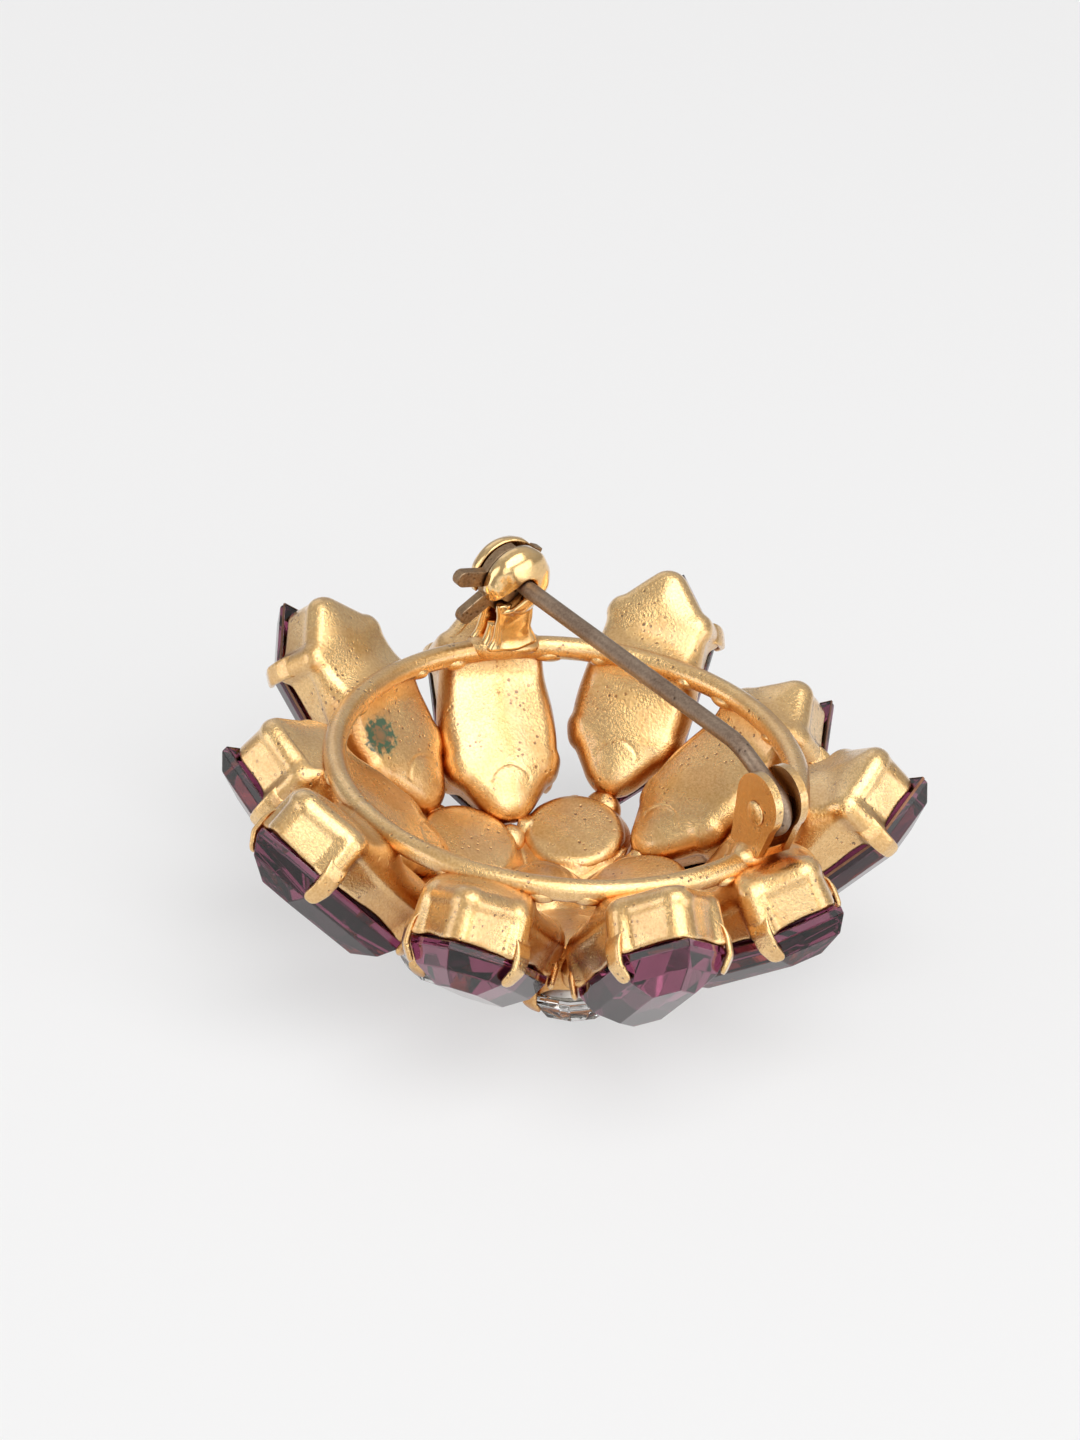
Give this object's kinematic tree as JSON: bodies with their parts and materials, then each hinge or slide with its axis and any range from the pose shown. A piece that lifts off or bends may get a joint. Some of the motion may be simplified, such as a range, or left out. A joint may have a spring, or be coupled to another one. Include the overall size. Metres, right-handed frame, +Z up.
{
  "type": "flower brooch",
  "caption": "Flower brooch of long claw-set glass petals and round clear stones soldered under a wire ring, with a riveted pin hinge and a roll-over safety catch.",
  "frame": {"origin": "on the brooch's axis, on the table of the centre stone, which lies on the surface that the brooch rests on", "axes": "+Z up along the brooch's axis, out of its back; X along the pin, with the hinge at +X and the catch at -X"},
  "size_m": [0.047, 0.0477, 0.023],
  "materials": {
    "antique_gold": "matte antique gold plate with fine grain",
    "polished_gold": "semi-bright gold plate",
    "aged_wire": "worn brown-grey metal",
    "purple_glass": "cut and polished, foiled back",
    "clear_glass": "cut and polished, foiled back"
  },
  "bodies": {
    "brooch": {"backing_ring": "antique_gold", "hinge_bracket": "antique_gold", "hinge_rivet": "antique_gold", "catch_body": "polished_gold", "outer_cup_1": "antique_gold", "outer_cup_2": "antique_gold", "outer_cup_3": "antique_gold", "outer_cup_4": "antique_gold", "outer_cup_5": "antique_gold", "outer_stone_1": "purple_glass", "outer_stone_2": "purple_glass", "outer_stone_3": "purple_glass", "outer_stone_4": "purple_glass", "outer_stone_5": "purple_glass", "inner_cup_1": "antique_gold", "inner_cup_2": "antique_gold", "inner_cup_3": "antique_gold", "inner_cup_4": "antique_gold", "inner_cup_5": "antique_gold", "inner_stone_1": "purple_glass", "inner_stone_2": "purple_glass", "inner_stone_3": "purple_glass", "inner_stone_4": "purple_glass", "inner_stone_5": "purple_glass", "round_cup_1": "antique_gold", "round_cup_2": "antique_gold", "round_cup_3": "antique_gold", "round_cup_4": "antique_gold", "round_cup_5": "antique_gold", "clear_stone_1": "clear_glass", "clear_stone_2": "clear_glass", "clear_stone_3": "clear_glass", "clear_stone_4": "clear_glass", "clear_stone_5": "clear_glass", "centre_cup": "antique_gold", "centre_stone": "clear_glass"},
    "pin": {"pin_stem": "aged_wire"},
    "rotor": {"catch_rotor": "aged_wire"}
  },
  "joints": [
    {"name": "pin_hinge", "type": "hinge", "parent": "brooch", "child": "pin", "pos_m": [0.0156, 0.00492, 0.01861], "axis": [0, 1, 0], "range_deg": [0, 100], "deforming": ["pin_stem"]},
    {"name": "catch_roll", "type": "hinge", "parent": "brooch", "child": "rotor", "pos_m": [-0.0147, 0.00492, 0.02041], "axis": [-1, 0, 0], "range_deg": [0, 208]}
  ]
}
